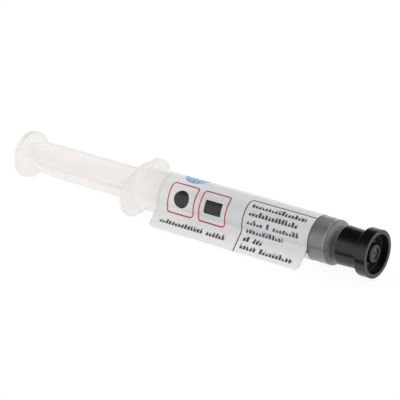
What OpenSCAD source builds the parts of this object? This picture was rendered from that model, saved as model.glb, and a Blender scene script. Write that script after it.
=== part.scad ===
// Solder paste syringe: a 10 ml hand syringe with a tip cap, lying on its side.
// The barrel's axis runs along X, the tip points to +X and the thumb rest to -X.
// Places along the axis are counted from the finger flange's rear face.

/* [Barrel] */
// Bore of the barrel
bore_d = 14.3; // [13:0.1:14.6]
// Thickness of the barrel's wall
barrel_wall = 0.8; // [0.7:0.05:1.1]
// Length from the flange's rear face to the shoulder's end face
barrel_l = 84.7; // [80:0.5:100]
// Rounding of the shoulder's outer corner
shoulder_round = 1.5; // [0.8:0.1:2.2]
// Slope of the bore's closed end, which the seal's nose matches, in degrees
shoulder_slope = 15; // [5:1:20]
// Distance from the shoulder's end face back to the start of the nozzle's channel
end_wall = 0.4; // [0.3:0.1:2]
// Height of the retaining bead inside the mouth
bead_h = 0.2; // [0.1:0.05:0.3]
// Width of the retaining bead
bead_w = 1.4; // [1:0.1:2]
// Distance of the retaining bead from the flange's rear face
bead_x = 2.6; // [2:0.1:4]
// Depth of the lead-in chamfer at the mouth
mouth_chamfer = 0.6; // [0.3:0.1:1]

/* [Finger flange] */
// Thickness of the finger flange
flange_t = 2.1; // [1.5:0.1:3]
// Radius of the flange's middle, where it rests on the table
flange_mid_r = 8.8; // [8.5:0.1:10]
// Radius of the flange's two ends
flange_end_r = 7.45; // [6:0.05:8]
// Half of the flange's length, from the axis to the tip of a wing
flange_half_l = 13.9; // [12:0.1:18]

/* [Nozzle] */
// Diameter of the channel through the nozzle
channel_d = 2.2; // [1.5:0.1:2.4]
// Diameter of the male taper at its tip
taper_tip_d = 3.95; // [3.9:0.01:4]
// Growth of the male taper's diameter for each millimetre of length
taper_rate = 0.06; // [0.05:0.005:0.07]
// Length that the male taper stands out past the lock collar
tip_stand_out = 2.1; // [1.5:0.1:2.8]
// Length of the lock collar beyond the shoulder
collar_l = 8.3; // [7:0.1:10]
// Wall of the lock collar
collar_wall = 1.2; // [1:0.1:1.4]
// Inner diameter of the lock collar, without its thread
collar_bore_d = 8; // [7.8:0.1:8.2]
// Thickness of the floor at the bottom of the lock collar
collar_floor = 0.8; // [0.5:0.1:1.5]

/* [Plunger rod] */
// Distance from the flange's rear face to the thumb disc's front face
rod_out = 52.1; // [50:0.1:60]
// Radius of the thumb disc
thumb_r = 8.8; // [8:0.05:9.5]
// Thickness of the thumb disc
thumb_t = 2.3; // [1.2:0.1:3]
// Clearance between the fins' edges and the bore
fin_gap = 0.5; // [0.4:0.05:1.2]
// Thickness of the fins
fin_t = 1.2; // [0.9:0.05:1.6]
// Reach of the fins from the axis where they leave the thumb disc
fin_root_r = 4.6; // [3.5:0.1:5]
// Length over which the fins widen from the thumb disc
fin_taper_l = 8; // [4:0.5:12]
// Clearance between the front plate and the retaining bead
plate_gap = 0.35; // [0.2:0.05:0.5]
// Thickness of the front plate
plate_t = 1.2; // [1:0.1:2]

/* [Rubber seal] */
// Length of the seal from its rear edge to the edge of its nose
seal_l = 8.4; // [7.5:0.1:10]
// Width of each sealing rib
rib_w = 1.3; // [1:0.1:1.6]
// Depth of the waist between the sealing ribs
waist_depth = 0.5; // [0.3:0.05:0.8]
// Clearance between the ribs and the bore
seal_gap = 0.05; // [0.02:0.01:0.1]
// Radius of the flat at the tip of the nose
nose_flat_r = 2; // [1.2:0.1:3]
// Radius of the knob that holds the seal
knob_r = 4.7; // [4:0.1:5]
// Narrowing of the knob towards its front
knob_draft = 0.5; // [0.2:0.1:1]
// Radius of the knob's neck
knob_neck_r = 3.7; // [3:0.1:3.9]
// Length of the knob's neck
knob_neck_l = 2.2; // [1.8:0.1:2.6]
// Length of the knob in front of its neck
knob_l = 3; // [2.5:0.1:3.4]
// Clearance between the seal and the knob
knob_gap = 0.05; // [0.02:0.01:0.1]

/* [Solder paste] */
// Length of the paste column along the wall
paste_l = 43.3; // [30:0.1:46]
// Clearance between the paste and the barrel
paste_gap = 0.02; // [0.01:0.01:0.05]
// Clearance between the paste and the seal's nose
paste_seal_gap = 0.1; // [0.05:0.05:0.2]
// Distance from the nozzle's tip to the paste in the channel
paste_short = 1; // [0.5:0.1:2]

/* [Tip cap] */
// Gap between the shoulder's end face and the cap's mouth
cap_gap = 2; // [1:0.1:3]
// Clearance between the lock collar and the inside of the skirt
skirt_gap = 0.6; // [0.4:0.05:0.8]
// Thickness of the skirt at its mouth
skirt_wall = 1.1; // [0.9:0.05:1.3]
// Narrowing of the skirt's outside between its mouth and the grip ring
skirt_taper = 0.3; // [0:0.05:0.4]
// Gap between the lock collar's end and the web inside the cap
web_gap = 2; // [1.5:0.1:3]
// Thickness of the web between the rear hollow and the front recess
web_t = 1.5; // [1:0.1:2]
// Outer radius of the grip ring
ring_r = 8.4; // [8:0.05:8.7]
// Thickness of the grip ring behind the recess
ring_back_t = 1.5; // [1:0.1:2]
// Width of the rim around the front recess
rim_w = 1.5; // [1:0.05:2]
// Depth of the front recess
recess_depth = 3; // [2.5:0.1:3.5]
// Clearance between the post and the inside of the lock collar
post_gap = 0.7; // [0.6:0.05:0.8]
// Clearance between the post's rear end and the lock collar's floor
post_floor_gap = 0.2; // [0.1:0.1:1]
// Distance from the rim back to the post's front end
hub_set_back = 0.9; // [0.5:0.1:1.6]
// Radius of the dish in the post's front end
hub_dish_r = 1.9; // [1.2:0.1:2.4]
// Depth of the dish in the post's front end
hub_dish_depth = 0.5; // [0.3:0.1:0.8]
// Clearance between the post's socket and the male taper
taper_gap = 0.04; // [0.02:0.01:0.08]
// Clearance between the socket's floor and the nozzle's tip
socket_gap = 0.4; // [0.3:0.1:0.6]
// Chamfer on the cap's outer edges
cap_chamfer = 0.25; // [0.1:0.05:0.4]

/* [Label] */
// Distance from the flange's rear face to the label
label_x = 12.7; // [8:0.1:14]
// Length of the label along the barrel
label_l = 63.8; // [55:0.1:66]
// Thickness of the label
label_t = 0.1; // [0.08:0.01:0.2]
// Clearance between the label and the barrel
label_gap = 0.02; // [0.01:0.01:0.05]
// Length of the flag where the label's two ends meet
flag_l = 7.9; // [5:0.1:8.5]
// Angle below horizontal at which the flag leaves the barrel
flag_root_angle = 12; // [5:1:20]
// Angle below horizontal at which the flag points
flag_angle = 47; // [30:1:50]
// Rounding of the flag's outer corners
flag_round = 1.4; // [0.5:0.1:3]

/* [Hidden] */
$fn = 96;
// small overlap that keeps cuts and joins clean
eps = 0.01;
// length by which a cut runs past the face that it opens
past = 1;

bore_r = bore_d / 2;
barrel_r = bore_r + barrel_wall;
channel_r = channel_d / 2;
// the bore narrows from its wall to the channel over this length
cone_l = (bore_r - channel_r) * tan(shoulder_slope);
channel_x = barrel_l - end_wall;
bore_end_x = channel_x - cone_l;

// the flange lies on the flat beside its middle, so its wings lean by the angle of that flat
flange_end_y = flange_half_l - flange_end_r;
flange_lean = asin((flange_mid_r - flange_end_r) / flange_end_y);

collar_end_x = barrel_l + collar_l;
collar_bore_r = collar_bore_d / 2;
collar_r = collar_bore_r + collar_wall;
tip_x = collar_end_x + tip_stand_out;
// radius of the male taper at a place along the axis
function taper_r(x) = taper_tip_d / 2 + (tip_x - x) * taper_rate / 2;

// the seal's nose lies against the rear of the paste column
paste_x = bore_end_x - paste_l;
nose_x = paste_x - paste_seal_gap;
seal_x = nose_x - seal_l;
seal_r = bore_r - seal_gap;
nose_l = (seal_r - nose_flat_r) * tan(shoulder_slope);
paste_r = bore_r - paste_gap;
paste_channel_r = channel_r - paste_gap;

thumb_front_x = -rod_out;
thumb_back_x = thumb_front_x - thumb_t;
fin_r = bore_r - fin_gap;
plate_r = bore_r - bead_h - plate_gap;

cap_x = barrel_l + cap_gap;
web_x = collar_end_x + web_gap;
recess_x = web_x + web_t;
rim_x = recess_x + recess_depth;
ring_x = recess_x - ring_back_t;
recess_r = ring_r - rim_w;
skirt_in_r = collar_r + skirt_gap;
skirt_mouth_r = skirt_in_r + skirt_wall;
post_r = collar_bore_r - post_gap;
post_x = barrel_l + collar_floor + post_floor_gap;
hub_x = rim_x - hub_set_back;
hub_chamfer = 0.4;
socket_floor_x = tip_x + socket_gap;

label_in_r = barrel_r + label_gap;
label_out_r = label_in_r + label_t;
// the flag is the label's two ends, face to face
flag_t = 2 * label_t;

// the frame's origin lies on the table, under the middle of the whole length
middle_x = (rim_x + thumb_back_x) / 2;
axis_z = max(flange_mid_r, thumb_r, ring_r);

// puts a shape that is drawn along its own Z onto the syringe's axis
module on_axis() {
    translate([-middle_x, 0, axis_z])
        rotate([90, 0, 90])
            children();
}

// moves a shape along the axis, while it is still drawn along Z
module at(x) {
    translate([0, 0, x])
        children();
}

// points along an arc round a centre
function arc(centre, r, from, to, steps) = [
    for (i = [0 : steps])
        let (a = from + (to - from) * i / steps)
        centre + r * [cos(a), sin(a)]
];

// the flange's outline: an arc at each end, an arc above and below the middle, and straight flanks between
module flange_outline() {
    tangent = 90 - flange_lean;
    polygon(concat(
        arc([flange_end_y, 0], flange_end_r, -tangent, tangent, 36),
        arc([0, 0], flange_mid_r, tangent, 180 - tangent, 8),
        arc([-flange_end_y, 0], flange_end_r, 180 - tangent, 180 + tangent, 36),
        arc([0, 0], flange_mid_r, 180 + tangent, 360 - tangent, 8)
    ));
}

module finger_flange() {
    rotate([0, 0, flange_lean])
        linear_extrude(height = flange_t)
            flange_outline();
}

// half section of the barrel's outside, the radius across and the axis up
module barrel_half_section() {
    difference() {
        square([barrel_r, barrel_l]);
        translate([barrel_r - shoulder_round, barrel_l - shoulder_round])
            difference() {
                square(shoulder_round + past);
                circle(r = shoulder_round);
            }
    }
}

module male_taper() {
    at(barrel_l - eps)
        cylinder(h = tip_x - barrel_l + eps, r1 = taper_r(barrel_l), r2 = taper_r(tip_x));
}

module lock_collar() {
    difference() {
        at(barrel_l - eps)
            cylinder(h = collar_l + eps, r = collar_r);
        at(barrel_l + collar_floor)
            cylinder(h = collar_l, r = collar_bore_r);
    }
}

module barrel_bore() {
    at(-past)
        cylinder(h = bore_end_x + past, r = bore_r);
    at(-eps)
        cylinder(h = mouth_chamfer, r1 = bore_r + mouth_chamfer, r2 = bore_r);
    at(bore_end_x - eps)
        cylinder(h = cone_l + eps, r1 = bore_r, r2 = channel_r);
    at(channel_x - eps)
        cylinder(h = tip_x - channel_x + past, r = channel_r);
}

// a low ring inside the mouth that keeps the seal from being drawn out
module retaining_bead() {
    crest_r = bore_r - bead_h;
    rotate_extrude()
        polygon([
            [bore_r + eps, bead_x],
            [crest_r, bead_x + bead_w / 3],
            [crest_r, bead_x + bead_w * 2 / 3],
            [bore_r + eps, bead_x + bead_w]
        ]);
}

module barrel() {
    color("gainsboro", 0.5)
        on_axis() {
            difference() {
                union() {
                    rotate_extrude()
                        barrel_half_section();
                    finger_flange();
                    lock_collar();
                    male_taper();
                }
                barrel_bore();
            }
            retaining_bead();
        }
}

// two fins in one plate through the axis, which widens from the thumb disc
module fin_pair() {
    full_x = thumb_front_x + fin_taper_l;
    front_x = seal_x - plate_t + eps;
    rotate([90, 0, 0])
        at(-fin_t / 2)
            linear_extrude(height = fin_t)
                polygon([
                    [-fin_root_r, thumb_front_x - eps],
                    [fin_root_r, thumb_front_x - eps],
                    [fin_r, full_x],
                    [fin_r, front_x],
                    [-fin_r, front_x],
                    [-fin_r, full_x]
                ]);
}

// a neck and a wider head that snap into the seal, larger by grow for the seal's own hollow
module seal_knob(grow) {
    head_x = seal_x + knob_neck_l - grow;
    head_r = knob_r + grow;
    at(seal_x - eps)
        cylinder(h = knob_neck_l + 2 * eps, r = knob_neck_r + grow);
    at(head_x)
        cylinder(h = knob_l + 2 * grow, r1 = head_r, r2 = head_r - knob_draft);
}

module plunger_rod() {
    color("whitesmoke", 0.7)
        on_axis() {
            at(thumb_back_x)
                cylinder(h = thumb_t, r = thumb_r);
            fin_pair();
            rotate([0, 0, 90])
                fin_pair();
            at(seal_x - plate_t)
                cylinder(h = plate_t, r = plate_r);
            seal_knob(0);
        }
}

module piston_seal() {
    color("dimgray")
        on_axis()
            difference() {
                union() {
                    at(seal_x)
                        cylinder(h = seal_l, r = seal_r - waist_depth);
                    for (x = [seal_x, nose_x - rib_w])
                        at(x)
                            cylinder(h = rib_w, r = seal_r);
                    at(nose_x)
                        cylinder(h = nose_l, r1 = seal_r, r2 = nose_flat_r);
                }
                seal_knob(knob_gap);
            }
}

// the column in the bore, the cone at its closed end and the thread of paste in the channel
module solder_paste() {
    cone_x = bore_end_x - paste_gap;
    end_x = tip_x - paste_short;
    color("slategray")
        on_axis()
            difference() {
                union() {
                    at(paste_x)
                        cylinder(h = cone_x - paste_x, r = paste_r);
                    at(cone_x - eps)
                        cylinder(h = cone_l + eps, r1 = paste_r, r2 = paste_channel_r);
                    at(cone_x + cone_l - eps)
                        cylinder(h = end_x - cone_x - cone_l, r = paste_channel_r);
                }
                at(paste_x - eps)
                    cylinder(h = nose_l + eps, r1 = paste_r, r2 = nose_flat_r);
            }
}

// half section of the cap without its hollows, the radius across and the axis up, with the post's rear end
module cap_half_section() {
    polygon([
        [0, post_x],
        [0, rim_x],
        [ring_r - cap_chamfer, rim_x],
        [ring_r, rim_x - cap_chamfer],
        [ring_r, ring_x + cap_chamfer],
        [ring_r - cap_chamfer, ring_x],
        [skirt_mouth_r - skirt_taper, ring_x],
        [skirt_mouth_r, cap_x + cap_chamfer],
        [skirt_mouth_r - cap_chamfer, cap_x],
        [post_r, cap_x],
        [post_r, post_x]
    ]);
}

// the ring-shaped recess round the post's front end, and the dish in that end
module front_recess() {
    edge_x = hub_x - hub_chamfer;
    difference() {
        at(recess_x)
            cylinder(h = recess_depth + past, r = recess_r);
        at(recess_x - past)
            cylinder(h = edge_x - recess_x + past, r = post_r);
        at(edge_x - eps)
            cylinder(h = hub_chamfer + eps, r1 = post_r, r2 = post_r - hub_chamfer);
    }
    at(hub_x - hub_dish_depth)
        cylinder(h = hub_dish_depth + hub_set_back + past, r = hub_dish_r);
}

// the hollow between the skirt and the post, where the lock collar sits
module rear_hollow() {
    difference() {
        at(cap_x - past)
            cylinder(h = web_x - cap_x + past, r = skirt_in_r);
        at(post_x)
            cylinder(h = web_x - post_x + past, r = post_r);
    }
}

// the socket in the post is a female taper that sits round the nozzle
module taper_socket() {
    start_x = post_x - past;
    at(start_x)
        cylinder(
            h = socket_floor_x - start_x,
            r1 = taper_r(start_x) + taper_gap,
            r2 = taper_r(socket_floor_x) + taper_gap
        );
}

module tip_cap() {
    color("#1c1c1e")
        on_axis()
            difference() {
                rotate_extrude()
                    cap_half_section();
                front_recess();
                rear_hollow();
                taper_socket();
            }
}

// puts a shape at the flag's root, with its first axis pointing out along the flag
module at_flag_root() {
    root = [-label_out_r * cos(flag_root_angle), -label_out_r * sin(flag_root_angle), 0];
    translate(root)
        rotate([0, 0, 180 + flag_angle])
            children();
}

// the label's two ends, face to face: a strip as long as the label, with its two outer corners rounded
module flag_strip() {
    // the strip starts inside the sleeve, so that it joins it on both sides
    sunk = 3 * label_t;
    corner_x = flag_l - flag_round;
    rotate([90, 0, 0])
        at(-flag_t / 2)
            linear_extrude(height = flag_t)
                polygon(concat(
                    [[-sunk, 0]],
                    arc([corner_x, flag_round], flag_round, -90, 0, 8),
                    arc([corner_x, label_l - flag_round], flag_round, 0, 90, 8),
                    [[-sunk, label_l]]
                ));
}

// a sleeve round the barrel, with its two ends standing off to -Y as a flag
module label() {
    color("gainsboro")
        on_axis()
            at(label_x)
                difference() {
                    union() {
                        cylinder(h = label_l, r = label_out_r);
                        at_flag_root()
                            flag_strip();
                    }
                    at(-past)
                        cylinder(h = label_l + 2 * past, r = label_in_r);
                }
}

barrel();
plunger_rod();
piston_seal();
solder_paste();
tip_cap();
label();
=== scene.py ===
# %% [markdown]
# A hand syringe full of grey solder paste, lying on a white table: a clear barrel, a plunger with four fins,
# a black tip cap, and a printed label whose two ends stand off the barrel as a flag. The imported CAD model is
# loaded first, because it says where each piece is and which pieces move together. Everything below is made
# to fit it, in millimetres, along one axis that runs from the thumb disc at -X to the cap at +X.

# %% Load the frame and read the sizes from it
import bpy
import numpy as np
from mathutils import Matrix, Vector


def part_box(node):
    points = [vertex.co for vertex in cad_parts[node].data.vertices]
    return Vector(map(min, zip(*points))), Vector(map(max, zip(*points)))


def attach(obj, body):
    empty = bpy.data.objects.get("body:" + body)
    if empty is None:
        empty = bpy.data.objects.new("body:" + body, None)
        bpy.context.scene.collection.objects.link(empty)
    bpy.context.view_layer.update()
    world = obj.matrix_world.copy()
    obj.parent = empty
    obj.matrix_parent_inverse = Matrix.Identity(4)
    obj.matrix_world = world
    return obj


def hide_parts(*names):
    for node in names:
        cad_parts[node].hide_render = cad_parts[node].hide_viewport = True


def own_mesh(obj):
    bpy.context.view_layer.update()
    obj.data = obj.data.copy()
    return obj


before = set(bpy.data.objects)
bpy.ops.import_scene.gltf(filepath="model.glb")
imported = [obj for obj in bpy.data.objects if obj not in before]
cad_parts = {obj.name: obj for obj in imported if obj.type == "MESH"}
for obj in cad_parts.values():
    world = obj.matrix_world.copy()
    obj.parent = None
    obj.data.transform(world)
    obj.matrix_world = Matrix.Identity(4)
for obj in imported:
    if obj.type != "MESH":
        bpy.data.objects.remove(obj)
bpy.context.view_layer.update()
MM = 0.001


def box_mm(node):
    """The lowest and the highest corner of a CAD node, in millimetres."""
    low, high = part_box(node)
    return np.array(low) / MM, np.array(high) / MM


barrel_low, barrel_high = box_mm("barrel")
rod_low, rod_high = box_mm("plunger_rod")
seal_low, seal_high = box_mm("piston_seal")
paste_low, paste_high = box_mm("solder_paste")
cap_low, cap_high = box_mm("tip_cap")
label_low, label_high = box_mm("label")

AXIS_Z = (rod_low[2] + rod_high[2]) / 2
THUMB_R = (rod_high[2] - rod_low[2]) / 2
BORE_R = (paste_high[2] - paste_low[2]) / 2 + 0.02
SEAL_R = (seal_high[2] - seal_low[2]) / 2
RING_R = (cap_high[2] - cap_low[2]) / 2
WALL = 0.8
BARREL_R = BORE_R + WALL
print("axis height", AXIS_Z, "bore radius", BORE_R, "barrel radius", BARREL_R)

# %% [markdown]
# The camera stands where the photographer stood: to the cap's side, a little above the table, and far
# enough away that the barrel hardly tapers. A long lens at 0.7 m gives that. The camera is placed from the
# two angles, so that it can be checked against the photograph by changing one number at a time.

# %% Camera
CAMERA_AZIMUTH = 36.9
CAMERA_ELEVATION = 22.64
CAMERA_DISTANCE = 0.7002
CAMERA_LENS = 177.9
AIM = Vector((1.5, 2.1, 8.8)) * MM


def place_camera():
    """Puts the camera on a sphere round the aim: azimuth turns it from -Y towards +X, elevation lifts it."""
    azimuth, elevation = np.radians([CAMERA_AZIMUTH, CAMERA_ELEVATION])
    back = Vector((
        np.sin(azimuth) * np.cos(elevation),
        -np.cos(azimuth) * np.cos(elevation),
        np.sin(elevation),
    ))
    data = bpy.data.cameras.new("camera")
    data.lens = CAMERA_LENS
    data.sensor_width = 36
    data.clip_start = 0.01
    camera = bpy.data.objects.new("camera", data)
    camera.location = AIM + back * CAMERA_DISTANCE
    camera.rotation_mode = "QUATERNION"
    camera.rotation_quaternion = (-back).to_track_quat("-Z", "Y")
    bpy.context.scene.collection.objects.link(camera)
    bpy.context.scene.camera = camera
    return camera


camera = place_camera()
bpy.context.scene.view_settings.view_transform = "Standard"
print("camera at", [round(x, 4) for x in camera.location])

# %% [markdown]
# Shader nodes are easier to read when one line makes one node. These helpers feed the inputs of a node, add
# a node with its settings, and do arithmetic with what comes out of other nodes.

# %% Helpers for nodes and arithmetic
def feed(tree, node, feeds):
    """Gives each named or numbered input of a node its value, or a link where the value is a socket."""
    for key, value in feeds.items():
        if isinstance(value, bpy.types.NodeSocket):
            tree.links.new(value, node.inputs[key])
        else:
            node.inputs[key].default_value = value
    return node


def put(tree, kind, feeds=None, **settings):
    """Adds a node. settings are its properties, and feeds are for its inputs."""
    made = tree.nodes.new("ShaderNode" + kind)
    for key, value in settings.items():
        setattr(made, key, value)
    return feed(tree, made, feeds or {})


def calc(tree, operation, *values):
    """One step of arithmetic on numbers or sockets."""
    return put(tree, "Math", dict(enumerate(values)), operation=operation).outputs[0]


def chain(tree, operation, first, *others):
    """The same step over several values, one after the other."""
    for value in others:
        first = calc(tree, operation, first, value)
    return first


def times(tree, *values):
    """Numbers or sockets, all multiplied."""
    return chain(tree, "MULTIPLY", *values)


def plus(tree, *values):
    """Numbers or sockets, all added up."""
    return chain(tree, "ADD", *values)


def minus(tree, first, second):
    """The first less the second."""
    return calc(tree, "SUBTRACT", first, second)


def largest(tree, *values):
    """The largest of numbers or sockets."""
    return chain(tree, "MAXIMUM", *values)


print("node helpers ready")

# %% [markdown]
# Three more things are needed in most materials: an S curve between two values, a mixture of two colours,
# and the place where a pattern is drawn. That place is given in the piece's own coordinates, so that the
# pattern stays on the piece when it moves.

# %% Helpers for curves, colours and places
def ramp(tree, value, low, high, start=0.0, end=1.0):
    """Start up to low, end from high on, and an S curve between them."""
    feeds = {"Value": value, "From Min": low, "From Max": high, "To Min": start, "To Max": end}
    return put(tree, "MapRange", feeds, interpolation_type="SMOOTHSTEP").outputs["Result"]


def blended(tree, share, first, second):
    """The first colour where share is 0, the second where it is 1, and mixtures between."""
    node = put(tree, "Mix", data_type="RGBA")
    takes = [socket.identifier for socket in node.inputs]
    feed(tree, node, {takes.index("Factor_Float"): share, takes.index("A_Color"): first,
                      takes.index("B_Color"): second})
    return next(socket for socket in node.outputs if socket.identifier == "Result_Color")


def own_place(tree):
    """The place in the piece's own coordinates, in metres."""
    return put(tree, "TexCoord").outputs["Object"]


def parts_of(tree, vector):
    """The three parts of a vector, by name."""
    return put(tree, "SeparateXYZ", {0: vector}).outputs


print("curve, colour and place helpers ready")

# %% [markdown]
# A group of nodes keeps an effect in one place, with a named input for each value that differs between the
# materials that share it. A value that is the same all over a surface goes on the shader's own socket.

# %% Helpers for groups and materials
def new_group(name, takes, gives):
    """Starts a node group. takes maps each input's name to its value, and gives lists the outputs."""
    tree = bpy.data.node_groups.new(name, "ShaderNodeTree")
    for label, value in takes.items():
        kind = "NodeSocketVector" if isinstance(value, tuple) else "NodeSocketFloat"
        tree.interface.new_socket(label, in_out="INPUT", socket_type=kind).default_value = value
    for label in gives:
        tree.interface.new_socket(label, in_out="OUTPUT", socket_type="NodeSocketFloat")
    return tree, tree.nodes.new("NodeGroupInput").outputs, tree.nodes.new("NodeGroupOutput").inputs


def use_group(tree, group, feeds):
    """Places a node group in a material and returns its outputs."""
    return put(tree, "Group", feeds, node_tree=group).outputs


def new_material(name):
    """A material with its Principled shader, ready for nodes."""
    material = bpy.data.materials.new(name)
    material.use_nodes = True
    return material, material.node_tree, material.node_tree.nodes["Principled BSDF"]


print("group and material helpers ready")

# %% [markdown]
# The light is the softest there is: an even white sky all round. But a glossy piece needs something dark to
# mirror, or it looks flat, and in a studio the far side is dark. So the sky has a dark patch high up on the
# thumb's side, which draws the black of the cap. Only rays that one mirror has turned see it, so that it
# takes no light away from the pale plastic.

# %% Sky
WHITE = (1, 1, 1, 1)
SKY_LEVEL = 1.0
MIRROR_LEVEL = 1.04
DARK_LEVEL = 0.0
DARK_DIRECTION = (-0.554, 0.116, 0.824)
DARK_ANGLE = 28
LIGHT_ANGLE = 61
BOUNCES = 24


def mirrored_once(tree):
    """1 for a ray that one mirror has turned, also under a thin clear wall, and 0 for every other ray."""
    rays = put(tree, "LightPath").outputs
    plain = calc(tree, "LESS_THAN", rays["Diffuse Depth"], 0.5)
    shallow = calc(tree, "LESS_THAN", rays["Transmission Depth"], 2.5)
    mirrors = calc(tree, "COMPARE", rays["Glossy Depth"], 1.0, 0.5)
    return times(tree, mirrors, plain, shallow)


def make_sky():
    """Plain white, but a ray that one mirror has turned meets a dark patch, by the angle from its middle."""
    world = bpy.data.worlds.new("studio")
    world.use_nodes = True
    bpy.context.scene.world = world
    tree = world.node_tree
    direction = put(tree, "TexCoord").outputs["Generated"]
    feeds = {0: direction, 1: DARK_DIRECTION}
    closeness = put(tree, "VectorMath", feeds, operation="DOT_PRODUCT").outputs["Value"]
    dark, light = np.cos(np.radians([DARK_ANGLE, LIGHT_ANGLE]))
    mirrored = ramp(tree, closeness, light, dark, MIRROR_LEVEL, DARK_LEVEL)
    glossy = mirrored_once(tree)
    level = plus(tree, times(tree, glossy, mirrored), times(tree, minus(tree, 1.0, glossy), SKY_LEVEL))
    tree.links.new(level, tree.nodes["Background"].inputs["Strength"])
    tree.nodes["Background"].inputs["Color"].default_value = WHITE
    return world


def allow_bounces():
    """Light inside clear plastic needs many bounces to get out, and rough glass has to stay as it is set."""
    paths = bpy.context.scene.cycles
    paths.blur_glossy = 0.0
    paths.max_bounces = paths.glossy_bounces = paths.transmission_bounces = BOUNCES
    paths.diffuse_bounces = BOUNCES // 2


make_sky()
allow_bounces()
print("sky ready, dark within", DARK_ANGLE, "degrees and light past", LIGHT_ANGLE)

# %% [markdown]
# The table is white too. It shows the camera a plain white with only a small share of its own shading, so
# that the syringe casts a faint shadow, and clear plastic shows the same. Mirrors see more of that shading,
# and the light that the table throws back has the most of it. A photographer would lay a dark card in front
# of the syringe, and so does this scene: mirrors see it as the thin dark line along every glossy side.

# %% Table and dark card
FLOOR_HALF = 2.5
FLOOR_WHITE = 1.01
FLOOR_SHADING = 0.08
MIRROR_SHADING = 0.25
FLOOR_GLOW = 0.6
CARD_Y = (-31.0, -18.0)
CARD_X = (-200.0, 200.0)
CARD_HEIGHT = 0.3


def flat_sheet(name, x_range, y_range, z):
    """A flat rectangle at one height, facing up."""
    (x0, x1), (y0, y1) = x_range, y_range
    mesh = bpy.data.meshes.new(name)
    corners = np.array([(x0, y0, z), (x1, y0, z), (x1, y1, z), (x0, y1, z)]) * MM
    mesh.from_pydata(corners.tolist(), [], [(0, 1, 2, 3)])
    sheet = bpy.data.objects.new(name, mesh)
    bpy.context.scene.collection.objects.link(sheet)
    return sheet


def cover(tree, share, first, second):
    """Makes a material's surface a mix: the first shader where share is 0, the second where it is 1."""
    mixed = put(tree, "MixShader", {0: share, 1: first.outputs[0], 2: second.outputs[0]})
    feed(tree, tree.nodes["Material Output"], {"Surface": mixed.outputs[0]})


def make_floor():
    """A white floor. What a ray sees is plain white, mixed with a share of the floor's own shading.

    The share is small for straight rays, larger for mirrored ones and largest for all the others."""
    half = FLOOR_HALF / MM
    floor = flat_sheet("floor", (-half, half), (-half, half), 0.0)
    material, tree, shader = new_material("white_table")
    feed(tree, shader, {"Base Color": (0.98, 0.98, 0.98, 1), "Roughness": 0.8, "Specular IOR Level": 0.0})
    white = put(tree, "Emission", {"Color": WHITE, "Strength": FLOOR_WHITE})
    rays = put(tree, "LightPath").outputs
    straight = largest(tree, rays["Is Camera Ray"], rays["Is Transmission Ray"])
    mirrored = times(tree, rays["Is Glossy Ray"], 1 - MIRROR_SHADING)
    share = largest(tree, times(tree, straight, 1 - FLOOR_SHADING), mirrored, FLOOR_GLOW)
    cover(tree, share, shader, white)
    floor.data.materials.append(material)
    return floor


def make_dark_card():
    """A dark strip in front of the syringe that only mirrors see, and that is clear to every other ray."""
    card = flat_sheet("dark_card", CARD_X, CARD_Y, CARD_HEIGHT)
    material, tree, shader = new_material("dark_card")
    feed(tree, shader, {"Base Color": (0.02, 0.02, 0.02, 1), "Roughness": 0.9, "Specular IOR Level": 0.0})
    cover(tree, mirrored_once(tree), put(tree, "BsdfTransparent"), shader)
    card.data.materials.append(material)
    card.visible_camera = card.visible_diffuse = card.visible_shadow = False
    return card


make_floor()
make_dark_card()
print("table and dark card ready, the card from y", *CARD_Y)

# %% [markdown]
# Most of the syringe is turned or moulded round the axis, so an outline that is carried round makes nearly
# every piece. Real mouldings have no sharp corners. The outline is written as a few corners, each with the
# radius that the mould has there, and one function turns them into arcs. A point close to each end of an arc
# keeps the shading of the long flat runs flat.

# %% Outlines with rounded corners
ARC_STEPS = 5
LEAD = 0.25


def rounded(corners, closed=False):
    """Points along an outline whose corners are rounded off.

    Each corner is (along, across, radius, points on the straight run after it). Where the two sides meet at
    twice the angle h, the arc touches them at radius / tan(h) from the corner, and its centre lies at
    radius / sin(h) along the bisector. An open outline keeps its two end points as they are."""
    table = np.array([(*c, 0)[:4] for c in corners], float)
    spots, radius, extra = table[:, :2], table[:, 2:3], table[:, 3].astype(int)
    back = np.roll(spots, 1, 0) - spots
    ahead = np.roll(spots, -1, 0) - spots
    back /= np.linalg.norm(back, axis=1, keepdims=True)
    ahead /= np.linalg.norm(ahead, axis=1, keepdims=True)
    half = np.arccos(np.clip((back * ahead).sum(1, keepdims=True), -1, 1)) / 2
    reach = radius / np.tan(half)
    bisector = (back + ahead) / np.linalg.norm(back + ahead, axis=1, keepdims=True)
    centre = spots + bisector * radius / np.sin(half)
    start = spots + back * reach - centre
    end = spots + ahead * reach - centre
    side = np.sign(start[:, :1] * end[:, 1:] - start[:, 1:] * end[:, :1])
    turn = side * (np.pi - 2 * half) * np.linspace(0, 1, ARC_STEPS + 1)
    arc_x = centre[:, :1] + start[:, :1] * np.cos(turn) - start[:, 1:] * np.sin(turn)
    arc_y = centre[:, 1:] + start[:, :1] * np.sin(turn) + start[:, 1:] * np.cos(turn)
    arcs = np.stack([arc_x, arc_y], -1)
    before = (spots + back * (reach + LEAD * radius))[:, None]
    after = (spots + ahead * (reach + LEAD * radius))[:, None]
    blocks = list(np.concatenate([before, arcs, after], 1))
    if not closed:
        blocks[0], blocks[-1] = spots[:1], spots[-1:]
    pieces = []
    for i, block in enumerate(blocks):
        pieces.append(block)
        if extra[i]:
            share = np.linspace(0, 1, extra[i] + 2)[1:-1, None]
            pieces.append(block[-1] * (1 - share) + blocks[(i + 1) % len(blocks)][0] * share)
    return np.concatenate(pieces)


square = rounded([(0, 0, 1), (9, 0, 1), (9, 9, 1), (0, 9, 1)], closed=True)
print("a rounded square has", len(square), "points")

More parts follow.
